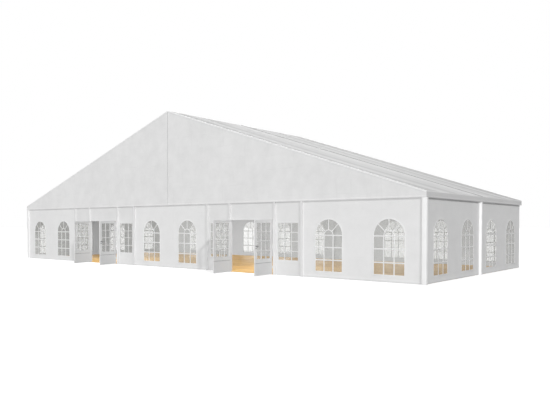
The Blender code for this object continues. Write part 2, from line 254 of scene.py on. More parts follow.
def roof_fabric(name, thread):
    """Coated woven roof cover: bands of painted shade and light up the slope for the shading of the sag
    between frames, welded joins and a fine weave.
    """
    mat = new_material(name, {"Specular IOR Level": 0.01})
    t = Tree(mat)
    parts = t.node("ShaderNodeSeparateXYZ", {"Vector": t.place}).outputs
    depth = t.maths("ABSOLUTE", parts["Y"], 0.0)
    wander = t.spread(t.cloud(t.stretched(0.10, 0.9, 0.10), 1.0, 3.0, 0.6), 0.0, 1.0, -0.06, 0.06)
    share = t.maths("ADD", t.maths("DIVIDE", depth, HALF_DEPTH), wander)
    # Painted shade and light: the base colour follows the bands listed above
    tone = t.ramp(share, [(place, grey(value)) for place, value in ROOF_PAINTED_SHADE_BANDS])
    clouds = t.cloud(t.stretched(0.5, 2.4, 0.5), 1.0, 4.0, 0.6)
    weld = t.spread(t.waves("Y", 1.25), 0.996, 0.999, 0.0, 1.0)
    fade = t.maths("SUBTRACT", t.spread(clouds, 0.3, 0.7, 0.96, 1.04), t.maths("MULTIPLY", weld, 0.05))
    crease = t.maths("ADD", clouds, t.maths("MULTIPLY", weld, 0.30))
    t.give(
        Base_Color=t.node("ShaderNodeVectorMath", {0: tone, 1: fade}, operation="MULTIPLY").outputs[0],
        Roughness=t.spread(clouds, 0.3, 0.7, 0.52, 0.66),
        Normal=weave_relief(t, thread, crease),
    )
    return mat


def coated_metal(name, colour, roughness):
    """Powder-coated aluminium: fine orange peel, slight tone changes and drawn lines."""
    mat = new_material(name, {"Specular IOR Level": 0.45})
    t = Tree(mat)
    clouds = t.cloud(t.place, 2.1, 4.0)
    drawn = t.cloud(t.stretched(90.0, 90.0, 0.8), 1.0, 2.0)
    peel = t.cloud(t.place, 420.0, 1.0)
    darker = tuple(c * 0.965 for c in colour)
    t.give(
        Base_Color=t.ramp(clouds, [(0.35, darker), (0.62, colour)]),
        Roughness=t.spread(clouds, 0.3, 0.7, roughness - 0.05, roughness + 0.08),
        Normal=t.bump(peel, 0.10, 0.0003, t.bump(drawn, 0.05, 0.0004)),
    )
    return mat


def clear_sheet(name, colour, alpha, roughness, streak, distance):
    """Clear film or glass: faint haze in upright streaks and a slow waviness of the surface."""
    mat = new_material(name, {"Alpha": alpha, "Specular IOR Level": 0.5})
    t = Tree(mat)
    haze = t.cloud(t.stretched(streak, streak, 0.15), 1.0, 1.0)
    slow = t.cloud(t.stretched(1.0, 1.0, 0.4), 1.6, 1.0)
    darker = tuple(c * 0.82 for c in colour)
    t.give(
        Base_Color=t.ramp(haze, [(0.36, darker), (0.64, colour)]),
        Roughness=t.spread(haze, 0.3, 0.7, roughness, roughness * 1.6),
        Normal=t.bump(slow, 0.5, distance),
    )
    return mat


def varnished_boards(name):
    """Varnished softwood: grain along X and a tone for each board."""
    constants = {"Specular IOR Level": 0.14, "Coat Weight": 0.04, "Coat Roughness": 0.20}
    mat = new_material(name, constants)
    t = Tree(mat)
    tone = t.node("ShaderNodeAttribute", {}, attribute_name="tone").outputs["Fac"]
    shifted = t.node("ShaderNodeCombineXYZ", {"X": t.maths("MULTIPLY", tone, 40.0)}).outputs[0]
    moved = t.node("ShaderNodeVectorMath", {0: t.place, 1: shifted}, operation="ADD").outputs[0]
    along = t.node("ShaderNodeMapping", {"Vector": moved, "Scale": (0.9, 26.0, 26.0)}).outputs[0]
    grain = t.cloud(along, 1.0, 6.0, 0.65)
    close = t.node("ShaderNodeMapping", {"Vector": moved, "Scale": (4.0, 160.0, 160.0)}).outputs[0]
    fine = t.cloud(close, 1.0)
    mixed = t.maths("ADD", t.maths("MULTIPLY", grain, 0.62), t.maths("MULTIPLY", tone, 0.38))
    stops = [(0.26, (0.52, 0.29, 0.085)), (0.50, (0.74, 0.45, 0.15)), (0.74, (0.86, 0.57, 0.22))]
    t.give(
        Base_Color=t.ramp(mixed, stops),
        Roughness=t.spread(grain, 0.3, 0.7, 0.34, 0.50),
        Normal=t.bump(fine, 0.20, 0.0006),
    )
    return mat


WALL_FABRIC = coated_fabric("wall_fabric", grey(0.728), grey(0.765), 0.0016)
GABLE_FABRIC = coated_fabric("gable_fabric", grey(0.695), grey(0.752), 0.0018)
VALANCE_FABRIC = coated_fabric("valance_fabric", grey(0.655), grey(0.670), 0.0018)
ROOF_FABRIC = roof_fabric("roof_fabric", 0.0018)
TRIM = coated_metal("white_trim", grey(0.80), 0.42)
METAL = coated_metal("white_metal", grey(0.86), 0.38)
POST = coated_metal("post_metal", grey(0.725), 0.42)
PANEL = coated_metal("white_panel", grey(0.725), 0.45)
# Dark grey for the seal in each leaf's joint, and painted shade: the roof joint rail and the strip under
# each leaf's ledge
SEAL_AND_SHADE = coated_metal("grey_seal_and_painted_shade", grey(0.26), 0.60)
# Painted shadow: flat grey for the strip down each gable seam
SEAM_SHADOW_GREY = coated_metal("painted_seam_shadow", grey(0.42), 0.60)
LEVER = coated_metal("lever_metal", (0.10, 0.10, 0.105), 0.32)
FILM = clear_sheet("window_film", (0.56, 0.565, 0.535), 0.22, 0.16, 1.4, 0.0003)
GLASS = clear_sheet("window_glass", (0.50, 0.505, 0.48), 0.18, 0.12, 4.5, 0.0001)
TIMBER = varnished_boards("timber")


# Meshes
def finish(name, bm, mats, body="tent", slot=None, stands_for=(), smooth=32.0):
    """Turns a bmesh into a piece that rides on a body."""
    bmesh.ops.recalc_face_normals(bm, faces=bm.faces)
    mesh = bpy.data.meshes.new(name)
    bm.to_mesh(mesh)
    bm.free()
    mesh.shade_smooth()
    mesh.set_sharp_from_angle(angle=math.radians(smooth))
    for mat in mats:
        mesh.materials.append(mat)
    obj = bpy.data.objects.new(name, mesh)
    scene.collection.objects.link(obj)
    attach(obj, body)
    if stands_for:
        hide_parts(*stands_for)
    return obj


def loft(bm, rings, mat=0, loop=False):
    """Joins rings of points into a closed skin, with end caps unless it runs round in a loop."""
    rows = [[bm.verts.new(p) for p in ring] for ring in rings]
    count = len(rows[0])
    faces = []
    for low, high in zip(rows, rows[1:] + (rows[:1] if loop else [])):
        for i in range(count):
            j = (i + 1) % count
            faces.append(bm.faces.new((low[i], low[j], high[j], high[i])))
    if not loop:
        faces += [bm.faces.new(rows[0]), bm.faces.new(rows[-1])]
    for face in faces:
        face.material_index = mat
    return faces


def eased(width, thick, edge=0.003):
    """Section of a flat bar whose outer corners are eased: across, and out from the face."""
    half = width / 2
    back = [(-half, 0.0), (-half, thick - edge)]
    front = [(-half + edge * 0.3, thick - edge * 0.3), (-half + edge, thick)]
    side = back + front
    return side + [(-a, b) for a, b in reversed(side)]


def bar(bm, a, b, section, place, mat=0):
    """A bar from a to b, two points on a wall; place(u, z, out) puts a point in space."""
    a, b = Vector(a), Vector(b)
    along = (b - a).normalized()
    across = Vector((along.y, -along.x))
    rings = []
    for end in (a, b):
        rings.append([place(*(end + across * s), out) for s, out in section])
    loft(bm, rings, mat)


def arch(centre, grow, steps=28):
    """Outline of a round-headed window, grown outwards all round."""
    half = WINDOW_HALF + grow
    points = [(centre - half, SILL_Z - grow), (centre + half, SILL_Z - grow)]
    for i in range(steps + 1):
        angle = math.pi * i / steps
        points.append((centre + half * math.cos(angle), SPRING_Z + half * math.sin(angle)))
    return points


def from_arch(u, z, centre):
    """Distance of a point outside a window's opening."""
    side = abs(u - centre)
    if z > SPRING_Z:
        return math.hypot(side, z - SPRING_Z) - WINDOW_HALF
    return max(side - WINDOW_HALF, SILL_Z - z)


def rectangle(u0, u1, z0, z1):
    return [(u0, z0), (u1, z0), (u1, z1), (u0, z1)]


def divided(loop, step):
    """The points of a closed outline, with more put between those further apart than step."""
    points = []
    for i, a in enumerate(loop):
        b = loop[(i + 1) % len(loop)]
        parts = max(1, math.ceil(math.dist(a, b) / step))
        du, dz = b[0] - a[0], b[1] - a[1]
        points += [(a[0] + du * k / parts, a[1] + dz * k / parts) for k in range(parts)]
    return points


def inside(loop, u, z):
    """Whether a point lies inside a closed outline."""
    odd = False
    for i, (a, b) in enumerate(loop):
        c, d = loop[i - 1]
        if (b > z) != (d > z) and u < (c - a) * (z - b) / (d - b) + a:
            odd = not odd
    return odd


def triangles(outline, holes, step):
    """Flat points and triangles of a sheet with holes."""
    loops = [divided(outline, step)] + [divided(h, step * 0.6) for h in holes]
    points = []
    edges = []
    for loop in loops:
        first = len(points)
        points += loop
        edges += [(first + i, first + (i + 1) % len(loop)) for i in range(len(loop))]
    rim = list(points)
    u0, u1 = min(p[0] for p in outline), max(p[0] for p in outline)
    z0, z1 = min(p[1] for p in outline), max(p[1] for p in outline)
    columns, rows = round((u1 - u0) / step), round((z1 - z0) / step)
    for i in range(1, columns):
        for j in range(1, rows):
            p = (u0 + (u1 - u0) * (i + 0.5 * (j % 2)) / columns, z0 + (z1 - z0) * j / rows)
            if inside(outline, *p) and not any(inside(h, *p) for h in holes):
                if all(abs(p[0] - q[0]) + abs(p[1] - q[1]) > step * 0.45 for q in rim):
                    points.append(p)
    found = delaunay_2d_cdt([Vector(p) for p in points], edges, [], 0, 1e-6)
    flat, faces = found[0], found[2]
    kept = []
    for face in faces:
        u, z = (sum(flat[i][k] for i in face) / 3 for k in (0, 1))
        if inside(outline, u, z) and not any(inside(h, u, z) for h in holes):
            kept.append(face)
    return flat, kept


def area_of(loop):
    """Area inside a closed outline."""
    return abs(sum(a[0] * b[1] - b[0] * a[1] for a, b in zip(loop, loop[1:] + loop[:1]))) / 2


def flat_sheet(
    name, outline, holes, place, height, mat, held, rests_on, step=0.14, thick=SHEET, **facts
):
    """A sheet of cloth or film: height(u, z) is how far its face stands out from its plane."""
    flat, faces = triangles(outline, holes, step)
    bm = bmesh.new()
    front, back = [], []
    for p in flat:
        out = height(p[0], p[1])
        front.append(bm.verts.new(place(p[0], p[1], out + thick / 2)))
        back.append(bm.verts.new(place(p[0], p[1], out - thick / 2)))
    sides = {}
    for face in faces:
        bm.faces.new([front[i] for i in face])
        bm.faces.new([back[i] for i in reversed(face)])
        for i, a in enumerate(face):
            sides[(a, face[(i + 1) % 3])] = True
    for a, b in sides:
        if (b, a) not in sides:
            bm.faces.new((front[b], front[a], back[a], back[b]))
    for v in [v for v in bm.verts if not v.link_faces]:
        bm.verts.remove(v)
    obj = finish(name, bm, [mat], **facts)
    cut = area_of(outline) - sum(area_of(h) for h in holes)
    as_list(rests_on)
    return obj


def smooth_step(value, lo, hi):
    """0 up to lo, 1 from hi on, and an eased rise between."""
    t = max(0.0, min(1.0, (value - lo) / (hi - lo)))
    return t * t * (3 - 2 * t)


# Walls of fabric with arched windows
def wall_place(side):
    """What turns a place on a wall, along, up and out, into a point in space."""
    if side == "front":
        return lambda u, z, out: Vector((u, -HALF_DEPTH + WALL_SET - out, z))
    if side == "rear":
        return lambda u, z, out: Vector((u, HALF_DEPTH - WALL_SET + out, z))
    if side == "right":
        return lambda u, z, out: Vector((HALF_SPAN - SIDE_SET + out, u, z))
    return lambda u, z, out: Vector((-HALF_SPAN + SIDE_SET - out, u, z))


def window_bars(bm, c, place):
    """Border, glazing bars and fan of one arched window, welded on the outside."""
    thick = 0.005
    border = [(-0.004, -0.002), (-0.004, 0.003), (0.0, thick)]
    border += [(0.040, thick), (0.045, 0.003), (0.045, -0.002)]
    loft(bm, [[place(u, z, out) for u, z in arch(c, grow)] for grow, out in border], loop=True)
    wide, narrow = eased(0.042, thick - 0.0004), eased(0.032, thick - 0.0004)
    for x in (c - FAN_RADIUS, c + FAN_RADIUS):
        bar(bm, (x, SILL_Z), (x, SPRING_Z), wide, place)
    low = [(s, out * 0.92) for s, out in wide]
    for z in BAR_LEVELS:
        bar(bm, (c - WINDOW_HALF, z), (c + WINDOW_HALF, z), low, place)
    for degrees in (45, 90, 135):
        angle = math.radians(degrees)
        ray = Vector((math.cos(angle), math.sin(angle)))
        hub = Vector((c, SPRING_Z))
        bar(bm, hub + ray * FAN_RADIUS, hub + ray * WINDOW_HALF, narrow, place)
    rings = []
    for i in range(17):
        angle = math.pi * i / 16
        ring = []
        for s, out in wide:
            r = FAN_RADIUS + s * 0.8
            x, z = c + r * math.cos(angle), SPRING_Z + r * math.sin(angle)
            ring.append(place(x, z, out * 0.96))
        rings.append(ring)
    loft(bm, rings)


def make_wall(name, side, u0, u1, middle, top, nodes, film_nodes, seed):
    """One bay of fabric wall, with its hems, window bars and films."""
    place = wall_place(side)
    centres = [middle - WINDOW_PITCH / 2, middle + WINDOW_PITCH / 2]

    def ripple(u, z):
        calm = smooth_step(min(u - u0, u1 - u, z, top - z), 0.05, 0.45)
        calm *= smooth_step(min(from_arch(u, z, c) for c in centres), 0.07, 0.35)
        folds = noise.noise(Vector((u * 1.3, z * 0.55, seed)))
        folds += 0.4 * noise.noise(Vector((u * 3.4, z * 1.4, seed + 5.0)))
        return 0.0045 * folds * calm

    def film_ripple(u, z):
        return 0.0012 * noise.noise(Vector((u * 4.0, z * 2.0, seed + 9.0))) - 0.0022

    holes = [arch(c, 0.0) for c in centres]
    outline = rectangle(u0, u1, WALL_FOOT, top)
    wall = flat_sheet(
        name, outline, holes, place, ripple, WALL_FABRIC, "stretched", nodes[1:],
        slot="wall_fabric", stands_for=nodes[:1],
    )
    edge = [(s, out - 0.0005) for s, out in eased(0.036, 0.0030, 0.002)]
    keder = [(s, out + 0.0022) for s, out in eased(0.008, 0.0022, 0.001)]
    foot = [(s, out - 0.0005) for s, out in eased(0.084, 0.0026, 0.001)]
    bm = bmesh.new()
    for u in (u0 + 0.019, u1 - 0.019):
        bar(bm, (u, WALL_FOOT), (u, top), edge, place)
        bar(bm, (u, WALL_FOOT), (u, top), keder, place)
    bar(bm, (u0, 0.052), (u1, 0.052), foot, place)
    bar(bm, (u0, 0.098), (u1, 0.098), eased(0.004, 0.0026, 0.001), place)
    finish(f"{name}_hems", bm, [WALL_FABRIC], slot="wall_fabric")
    bm = bmesh.new()
    for c in centres:
        window_bars(bm, c, place)
    finish(f"{name}_window_bars", bm, [TRIM], slot="wall_fabric")
    for number, c in enumerate(centres, start=1):
        flat_sheet(
            f"{name}_film_{number}", arch(c, 0.03), [], place, film_ripple, FILM, "stretched", [wall.name],
            step=0.11, thick=0.0007, slot="window_film", stands_for=film_nodes,
        )


def make_walls():
    corner = LEG_INNER - 0.0003
    front = {
        "left": (0, -corner, POST_LINES[0] - POST_HALF, ["front_frame", "front_post_1"]),
        "middle": (
            2, POST_LINES[1] + POST_HALF, POST_LINES[2] - POST_HALF, ["front_post_2", "front_post_3"],
        ),
        "right": (4, POST_LINES[3] + POST_HALF, corner, ["front_post_4", "front_frame"]),
    }
    for name, (bay, u0, u1, posts) in front.items():
        make_wall(
            f"front_wall_{name}_sheet", "front", u0, u1, bay_middle(bay), WALL_TOP,
            [f"front_wall_{name}"] + posts, [f"front_window_film_{name}"], 3.0 + bay,
        )
    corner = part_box("rear_wall")[1].x
    stops = [-corner] + [x + d for x in POST_LINES for d in (-POST_HALF, POST_HALF)] + [corner]
    for bay in range(5):
        u0, u1 = stops[bay * 2], stops[bay * 2 + 1]
        make_wall(
            f"rear_wall_sheet_{bay + 1}", "rear", u0, u1, bay_middle(bay), WALL_TOP,
            ["rear_wall", "rear_frame"], ["rear_window_film"], 20.0 + bay,
        )
    for index, side in enumerate(("left", "right")):
        low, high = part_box(f"{side}_side_wall")
        films = [f"{side}_side_window_film"]
        for number, (u0, u1) in enumerate(((low.y, -POST_HALF), (POST_HALF, high.y)), start=1):
            make_wall(
                f"{side}_wall_sheet_{number}", side, u0, u1, (u0 + u1) / 2, SIDE_WALL_TOP,
                [f"{side}_side_wall", "middle_frame"], films, 40.0 + 7 * index + number,
            )


# Extrusions
def extrusion(width, depth, radius, slots=()):
    """Section with rounded corners and slots: (side from 0 at the front, place, width, depth)."""
    a, b = width / 2, depth / 2
    starts = [(-a, -b), (a, -b), (a, b), (-a, b)]
    steps = [(1, 0), (0, 1), (-1, 0), (0, -1)]
    points = []
    for side, ((x, y), (ax, ay)) in enumerate(zip(starts, steps)):
        length = depth if side % 2 else width
        marks = [(radius, 0.0)]
        for _, at, wide, deep in sorted(s for s in slots if s[0] == side):
            middle = length / 2 + at
            start, end = middle - wide / 2, middle + wide / 2
            marks += [(start, 0.0), (start, deep), (end, deep), (end, 0.0)]
        marks.append((length - radius, 0.0))
        for degrees in (30, 60):
            angle = math.radians(degrees)
            marks.append((length - radius + radius * math.sin(angle), radius * (1 - math.cos(angle))))
        points += [(x + ax * t - ay * q, y + ay * t + ax * q) for t, q in marks]
    return points


def make_frame(name, y_middle, depth, leg_middle, gable):
    """A portal frame as one mitred extrusion: foot, leg, knee, rafter, ridge and back down."""
    limit = HALF_SPAN - VALANCE_GAP
    rafter = EAVE_Z - COVER - MEMBER_HALF / math.cos(PITCH)

    def middle(x):
        return rafter + (HALF_SPAN - x) * math.tan(PITCH)

    slots = [(0, 0.062, 0.006, 0.005), (2, -0.062, 0.006, 0.005)]
    slots += [(1, 0.0, 0.014, 0.010), (3, 0.0, 0.014, 0.008)]
    rings = [[] for _ in range(9)]
    for a, b in extrusion(2 * MEMBER_HALF, depth, 0.007, slots):
        x = leg_middle - a
        knee = middle(x) - a / math.cos(PITCH)
        high = middle(0.0) - a / math.cos(PITCH)
        y = y_middle + b
        shown_x = min(x, limit)
        shown_y = y
        if gable:
            edge = HALF_DEPTH - GABLE_GAP
            shown_y = max(y, -edge) if y_middle < 0 else min(y, edge)
        path = [
            (-x, y, 0.0), (-x, y, STEP_Z), (-shown_x, shown_y, STEP_Z + 0.0002), (-shown_x, shown_y, knee),
            (0.0, shown_y, high),
            (shown_x, shown_y, knee), (shown_x, shown_y, STEP_Z + 0.0002), (x, y, STEP_Z), (x, y, 0.0),
        ]
        for ring, point in zip(rings, path):
            ring.append(point)
    bm = bmesh.new()
    loft(bm, rings)
    finish(name, bm, [METAL], slot="frame_white", stands_for=[name.replace("_profile", "")])


def make_frames():
    leg = HALF_SPAN - MEMBER_HALF
    rear_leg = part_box("rear_frame")[1].x - MEMBER_HALF
    make_frame("front_frame_profile", -FRAME_LINE, FRAME_DEPTH, leg, True)
    make_frame("middle_frame_profile", 0.0, MIDDLE_FRAME_DEPTH, leg, False)
    make_frame("rear_frame_profile", FRAME_LINE, FRAME_DEPTH, rear_leg, True)


def make_posts():
    for end, sign in (("front", -1), ("rear", 1)):
        for number, x in enumerate(POST_LINES, start=1):
            node = f"{end}_post_{number}"
            lip = FABRIC_GAP if sign < 0 else HALF_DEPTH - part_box("rear_window_film")[0].y + 0.0003
            slots = [(0, -0.034, 0.004, 0.003), (0, 0.034, 0.004, 0.003)]
            slots += [(1, -0.014, 0.016, 0.012), (3, 0.014, 0.016, 0.012), (2, 0.0, 0.012, 0.008)]
            shape = extrusion(0.0998, 0.1398, 0.006, slots)
            rings = [[], [], [], []]
            for a, b in shape:
                y = sign * FRAME_LINE + b * -sign
                edge = sign * (HALF_DEPTH - lip)
                set_back = min(y, edge) if sign > 0 else max(y, edge)
                top = rafter_foot(x + a) - 0.0006
                rings[0].append((x + a, y, 0.0))
                rings[1].append((x + a, y, STEP_Z))
                rings[2].append((x + a, set_back, STEP_Z + 0.0002))
                rings[3].append((x + a, set_back, top))
            bm = bmesh.new()
            loft(bm, rings)
            finish(f"{node}_profile", bm, [POST], slot="frame_white", stands_for=[node])


# Gable fabric in two halves, with a seam under the ridge; the grey strip down the seam is painted shadow of
# the overlapping flap
def make_gables():
    for end, sign in (("front", -1), ("rear", 1)):
        for side, way in (("left", -1), ("right", 1)):
            inner, outer = 0.004, HALF_SPAN - 0.0045
            outline = [(inner, VALANCE_Z), (outer, VALANCE_Z), (outer, roof_top(outer) - COVER)]
            outline.append((inner, roof_top(inner) - COVER))
            outline = [(way * u, z) for u, z in outline]
            seed = 60.0 + 10 * sign + way

            def place(u, z, out):
                return Vector((u, sign * (HALF_DEPTH - GABLE_OUT + out), z))

            def ripple(u, z):
                near = min(abs(u) - inner, z - VALANCE_Z, (roof_top(u) - COVER - z) * math.cos(PITCH))
                calm = smooth_step(near, 0.0, 0.5)
                folds = noise.noise(Vector((u * 1.0, z * 0.6, seed)))
                folds += 0.55 * noise.noise(Vector((u * 2.7, z * 1.1, seed + 3.0)))
                folds += 0.35 * noise.noise(Vector((u * 5.5, z * 4.0, seed + 6.0)))
                return 0.0055 * folds * calm - 0.001

            flat_sheet(
                f"{end}_gable_sheet_{side}", outline, [], place, ripple, GABLE_FABRIC, "stretched",
                [f"{end}_frame"], step=0.17, slot="roof_fabric", stands_for=[f"{end}_gable_{side}"],
            )
            bm = bmesh.new()
            hem = [(s, out - 0.0003) for s, out in eased(0.060, 0.0026, 0.001)]
            bar(bm, (way * inner, VALANCE_Z + 0.0305), (way * outer, VALANCE_Z + 0.0305), hem, place)
            welt = eased(0.034, 0.0034, 0.002)
            bar(bm, (way * 0.030, VALANCE_Z), (way * 0.030, roof_top(0.05) - COVER - 0.012), welt, place)
            finish(f"{end}_gable_hem_{side}", bm, [GABLE_FABRIC], slot="roof_fabric")
        bm = bmesh.new()
        # Painted shadow: a flat grey strip down the seam stands for the shadow of the overlapping flap
        bar(bm, (0.0, VALANCE_Z), (0.0, roof_top(0.01) - COVER - 0.02), eased(0.026, 0.0012, 0.0005), place)
        finish(f"{end}_gable_seam_shadow", bm, [SEAM_SHADOW_GREY], slot="frame_white")


# Roof covers: one piece of fabric a bay, from valance foot over the ridge to the other valance foot
def roof_profile():
    """Half of the cover's profile from the ridge outwards: (x, z, way out, share of the slope)."""
    bend = 0.035
    depth = 0.003
    points = []
    count = 62
    end_x = HALF_SPAN - depth - bend * math.tan((math.pi / 2 - PITCH) / 2)
    foot = EAVE_Z - depth / math.cos(PITCH) + depth * math.tan(PITCH)
    for i in range(count + 1):
        x = end_x * i / count
        z = foot + (HALF_SPAN - depth - x) * math.tan(PITCH)
        points.append((x, z, (math.sin(PITCH), math.cos(PITCH)), i / count))
    last_x, last_z = points[-1][:2]
    hub = (last_x - bend * math.sin(PITCH), last_z - bend * math.cos(PITCH))
    for i in range(1, 9):
        angle = PITCH + (math.pi / 2 - PITCH) * i / 8
        way = (math.sin(angle), math.cos(angle))
        points.append((hub[0] + bend * way[0], hub[1] + bend * way[1], way, 1.0))
    z = points[-1][1]
    for i in range(1, 6):
        points.append((HALF_SPAN - depth, z + (VALANCE_Z - z) * i / 5, (1.0, 0.0), 1.0))
    return points


def make_roof():
    half = roof_profile()
    profile = [(-x, z, (-way[0], way[1]), share) for x, z, way, share in reversed(half[1:])]
    profile += half
    length = sum(math.dist(a[:2], b[:2]) for a, b in zip(profile, profile[1:]))
    columns = 44
    for bay, y0, y1, seed in (("front", -HALF_DEPTH, -0.001, 80.0), ("rear", 0.001, HALF_DEPTH, 90.0)):
        bm = bmesh.new()
        top, under = [], []
        for x, z, way, share in profile:
            upper, lower = [], []
            for j in range(columns + 1):
                v = j / columns
                y = y0 + (y1 - y0) * v
                between = math.sin(math.pi * v)
                slope = math.sin(math.pi * min(1.0, share * 1.02)) ** 0.6 if share < 0.98 else 0.0
                sag = -0.045 * between ** 0.8 * slope
                bands = math.sin(2 * math.pi * 1.67 * (v - 0.3 + 0.02 * math.sin(x * 0.4 + seed)))
                bands += 0.5 * noise.noise(Vector((v * 9.0, x * 0.10, seed)))
                sag += 0.012 * bands * between ** 0.5 * slope
                sag += 0.003 * noise.noise(Vector((y * 2.2, x * 0.9, seed + 2.0))) * between * slope
                if share == 1.0:
                    sag = 0.0025 * noise.noise(Vector((y * 1.8, z * 3.0, seed + 4.0))) * between
                upper.append(bm.verts.new((x + way[0] * sag, y, z + way[1] * sag)))
                sag -= SHEET
                lower.append(bm.verts.new((x + way[0] * sag, y, z + way[1] * sag)))
            top.append(upper)
            under.append(lower)
        last = len(profile) - 1
        for i in range(last):
            upright = profile[i][3] == profile[i + 1][3] == 1.0
            for j in range(columns):
                outer = bm.faces.new((top[i][j], top[i + 1][j], top[i + 1][j + 1], top[i][j + 1]))
                outer.material_index = int(upright)
                below, beyond = under[i], under[i + 1]
                bm.faces.new((below[j], below[j + 1], beyond[j + 1], beyond[j]))
            for j in (0, columns):
                bm.faces.new((top[i][j], top[i + 1][j], under[i + 1][j], under[i][j]))
        for i in (0, last):
            for j in range(columns):
                bm.faces.new((top[i][j], top[i][j + 1], under[i][j + 1], under[i][j]))
        nodes = [f"{bay}_roof_left", f"{bay}_roof_right"]
        fabrics = [ROOF_FABRIC, VALANCE_FABRIC]
        cover = finish(f"{bay}_roof_cover", bm, fabrics, slot="roof_fabric", stands_for=nodes)
        make_roof_hems(bay, y0, y1)


def make_roof_hems(bay, y0, y1):
    """Doubled hem at the foot of each valance."""
    bm = bmesh.new()
    for way in (-1, 1):
        def place(u, z, out):
            return Vector((way * (HALF_SPAN - 0.0036 + out), u, z))

        hem = eased(0.050, 0.0030, 0.001)
        bar(bm, (y0, VALANCE_Z + 0.0255), (y1, VALANCE_Z + 0.0255), hem, place)
    finish(f"{bay}_valance_hems", bm, [VALANCE_FABRIC], slot="roof_fabric")


def along_slope(section, y, sign):
    """Rings of a section, given as (out, forward), at the left eave, the ridge and the right eave."""
    rings = [[], [], []]
    for out, forward in section:
        z = EAVE_Z + out / math.cos(PITCH)
        rings[0].append((-HALF_SPAN + 0.004, y + sign * forward, z))
        rings[1].append((0.0, y + sign * forward, z + HALF_SPAN * math.tan(PITCH)))
        rings[2].append((HALF_SPAN - 0.004, y + sign * forward, z))
    return rings


def make_rails():
    """Edge profiles over both gables, and the joint rail over the middle frame, dark grey all over as
    painted shade of its groove.
    """
    for name, y, sign in (("front", -HALF_DEPTH, -1), ("rear", HALF_DEPTH, 1)):
        section = [(-0.042, -0.003), (-0.042, 0.003), (-0.0415, 0.0035), (0.001, 0.0035)]
        section += [(0.002, 0.0025), (0.003, -0.003), (0.003, -0.024), (-0.0008, -0.025)]
        section += [(-0.0008, -0.010), (-0.001, -0.003)]
        bm = bmesh.new()
        loft(bm, along_slope(section, y, sign))
        finish(f"{name}_verge_profile", bm, [METAL], slot="frame_white", smooth=12.0)
    section = [(0.0005, -0.046), (0.006, -0.046), (0.010, -0.040), (0.010, -0.006), (0.002, -0.005)]
    section += [(0.002, 0.005), (0.010, 0.006), (0.010, 0.040), (0.006, 0.046), (0.0005, 0.046)]
    bm = bmesh.new()
    loft(bm, along_slope(section, 0.0, 1))
    # Painted shade: the rail is dark grey for the shade in its groove
    finish("roof_joint_rail", bm, [SEAL_AND_SHADE], slot="frame_white")


# Timber floor of boards along X
def make_floor():
    low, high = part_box("floor")
    chooser = random.Random(11)
    bm = bmesh.new()
    tones = []
    pitch = (HALF_DEPTH - FLOOR_EDGE) * 2 / BOARD_ROWS
    top, ease, joint = high.z, 0.0022, 0.0009

    def board(x0, x1, y0, y1):
        section = [(y0, 0.001), (y0, top - ease), (y0 + ease, top)]
        section += [(y1 - ease, top), (y1, top - ease), (y1, 0.001)]
        loft(bm, [[(x, y, z) for y, z in section] for x in (x0, x1)])
        tones.extend([chooser.random()] * (2 * len(section)))

    for row in range(BOARD_ROWS):
        y0 = -HALF_DEPTH + FLOOR_EDGE + pitch * row
        start, end = low.x + 0.001, high.x - 0.001
        if y0 < POST_HALF and y0 + pitch > -POST_HALF:
            start, end = -LEG_INNER + 0.0006, LEG_INNER - 0.0006
        x = start
        length = chooser.uniform(0.8, BOARD_LENGTH)
        while x < end:
            stop = min(end, x + length)
            if end - stop < SHORTEST_BOARD:
                stop = end
            board(x, stop - joint, y0, y0 + pitch - 2 * joint)
            x = stop
            length = BOARD_LENGTH
    for centre in ENTRANCES.values():
        half = DOORWAY_HALF - 0.006
        board(centre - half, centre + half, low.y + 0.001, -HALF_DEPTH + THRESHOLD_END)
    obj = finish("floor_boards", bm, [TIMBER], slot="timber_floor", stands_for=["floor"], smooth=50.0)
    obj.visible_diffuse = False
    attribute = obj.data.attributes.new("tone", "FLOAT", "POINT")
    attribute.data.foreach_set("value", tones)


# Entrances
def round_bar(bm, points, radius, sides=14, mat=0):
    """A round rod along a line of points."""
    rings = []
    for i, p in enumerate(points):
        p = Vector(p)
        before, after = points[max(i - 1, 0)], points[min(i + 1, len(points) - 1)]
        ahead = (Vector(after) - Vector(before)).normalized()
        up = Vector((0.0, 0.0, 1.0)) if abs(ahead.z) < 0.9 else Vector((1.0, 0.0, 0.0))
        right = ahead.cross(up).normalized()
        over = right.cross(ahead)
        r = radius[i] if isinstance(radius, list) else radius
        turns = [2 * math.pi * k / sides for k in range(sides)]
        rings.append([p + (right * math.cos(a) + over * math.sin(a)) * r for a in turns])
    loft(bm, rings, mat)


def hinge_half(bm, x, y, toward, z0, mat=0):
    """Knuckle and plate of a hinge; the plate runs toward +X or -X from the pin at x, y."""
    r = 0.009
    heights = [z0, z0 + 0.0015, z0 + 0.0485, z0 + 0.05]
    round_bar(bm, [(x, y, z) for z in heights], [r - 0.0015, r, r, r - 0.0015], 16, mat)

    def place(u, z, out):
        return Vector((u, y + 0.0125 - out, z))

    a, b = sorted((x + toward * 0.004, x + toward * 0.047))
    bar(bm, (a, z0 + 0.025), (b, z0 + 0.025), eased(0.048, 0.0055, 0.0015), place, mat)
    for offset in (0.022, 0.038):
        u = x + toward * offset
        points = [(u, y + 0.0125 - d, z0 + 0.025) for d in (0.0, 0.0062, 0.0074)]
        round_bar(bm, points, [0.0042, 0.0042, 0.0026], 10, mat)


